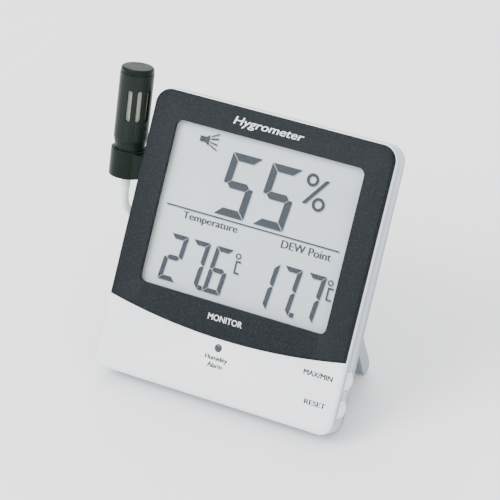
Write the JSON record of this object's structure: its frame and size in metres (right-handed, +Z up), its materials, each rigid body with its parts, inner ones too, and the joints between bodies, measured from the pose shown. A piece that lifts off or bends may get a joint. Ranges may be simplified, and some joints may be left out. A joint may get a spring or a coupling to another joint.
{
  "type": "dial hygrometer",
  "caption": "Desk hygrometer and thermometer with a wide LCD, a lift-out sensing probe on a cable in a swivelling side holder, side buttons and a fold-out stand.",
  "frame": {"origin": "on the table under the middle of the object's box, its free cable left out", "axes": "+X to the right across the display, +Y towards the back, +Z up; the housing leans back 30 degrees on its slanted base and open stand"},
  "size_m": [0.1162, 0.1119, 0.1065],
  "materials": {
    "pearl_plastic": "pearl white, satin",
    "shell_plastic": "bluish silver, satin",
    "charcoal_plastic": "charcoal, fine grain",
    "button_plastic": "light silver, satin",
    "stand_plastic": "light grey, fine grain",
    "probe_plastic": "dark green-black, half gloss",
    "filter_felt": "pale filter felt",
    "clear_lens": "clear, glossy",
    "lcd_film": "grey-green polarising film",
    "lcd_glass": "clear",
    "lcd_back": "pale grey reflector",
    "white_plastic": "white, matt",
    "contact_rubber": "striped silicone",
    "board_laminate": "green solder mask",
    "chip_resin": "black resin",
    "steel": "bright steel",
    "nickel": "nickel plated",
    "black_plastic": "black, matt",
    "lamp_plastic": "clear lamp body",
    "cell_wrap": "plain printed wrap",
    "cable_sheath": "white, satin"
  },
  "bodies": {
    "housing": {"front_shell": "pearl_plastic", "bezel_plate": "charcoal_plastic", "rear_shell": "shell_plastic", "case_screws": "steel", "display_lens": "clear_lens", "lcd_polariser": "lcd_film", "lcd_front_glass": "lcd_glass", "lcd_rear_glass": "lcd_glass", "lcd_reflector": "lcd_back", "lcd_frame": "white_plastic", "zebra_strip": "contact_rubber", "main_board": "board_laminate", "chip_blob": "chip_resin", "crystal": "steel", "buzzer": "black_plastic", "alarm_lamp": "lamp_plastic", "side_switches": "black_plastic", "key_board": "board_laminate", "key_board_screws": "steel", "key_switches": "black_plastic", "battery_cell": "cell_wrap", "battery_contact_plus": "nickel", "battery_contact_minus": "nickel", "battery_spring": "nickel", "cable_gland": "cable_sheath", "cable_lead_probe": "cable_sheath", "cable_coil": "cable_sheath", "cable_lead_housing": "cable_sheath"},
    "stand": {"stand": "stand_plastic", "stand_hinge_pins": "steel"},
    "max_min_button": {"max_min_button": "button_plastic"},
    "reset_button": {"reset_button": "button_plastic"},
    "mode_key": {"mode_key": "button_plastic"},
    "up_key": {"up_key": "button_plastic"},
    "down_key": {"down_key": "button_plastic"},
    "battery_door": {"battery_door": "shell_plastic"},
    "probe_holder": {"probe_holder": "probe_plastic", "holder_pivot": "probe_plastic"},
    "probe": {"probe_cap": "probe_plastic", "probe_top": "probe_plastic", "probe_body": "probe_plastic", "filter_sleeve": "filter_felt", "sensor_board": "board_laminate", "humidity_sensor": "white_plastic", "temperature_sensor": "lamp_plastic", "probe_tail": "cable_sheath"}
  },
  "joints": [
    {"name": "stand_hinge", "type": "hinge", "parent": "housing", "child": "stand", "pos_m": [0.00732, 0.00205, 0.03672], "axis": [1, 0, 0], "range_deg": [-52, 0]},
    {"name": "max_min_press", "type": "slide", "parent": "housing", "child": "max_min_button", "axis": [-1, 0, 0], "range_m": [0, 0.0008], "stiffness_N_per_m": 300},
    {"name": "reset_press", "type": "slide", "parent": "housing", "child": "reset_button", "axis": [-1, 0, 0], "range_m": [0, 0.0008], "stiffness_N_per_m": 300},
    {"name": "mode_press", "type": "slide", "parent": "housing", "child": "mode_key", "axis": [0, -0.866, 0.5], "range_m": [0, 0.0006], "stiffness_N_per_m": 300},
    {"name": "up_press", "type": "slide", "parent": "housing", "child": "up_key", "axis": [0, -0.866, 0.5], "range_m": [0, 0.0006], "stiffness_N_per_m": 300},
    {"name": "down_press", "type": "slide", "parent": "housing", "child": "down_key", "axis": [0, -0.866, 0.5], "range_m": [0, 0.0006], "stiffness_N_per_m": 300},
    {"name": "battery_door_off", "type": "slide", "parent": "housing", "child": "battery_door", "axis": [0, 0.866, -0.5], "range_m": [0, 0.012]},
    {"name": "holder_swivel", "type": "hinge", "parent": "housing", "child": "probe_holder", "pos_m": [-0.04217, 0.01112, 0.06843], "axis": [1, 0, 0], "range_deg": [-16, 74]},
    {"name": "probe_lift", "type": "slide", "parent": "probe_holder", "child": "probe", "axis": [0, 0.2419, 0.9703], "range_m": [0, 0.02]}
  ]
}
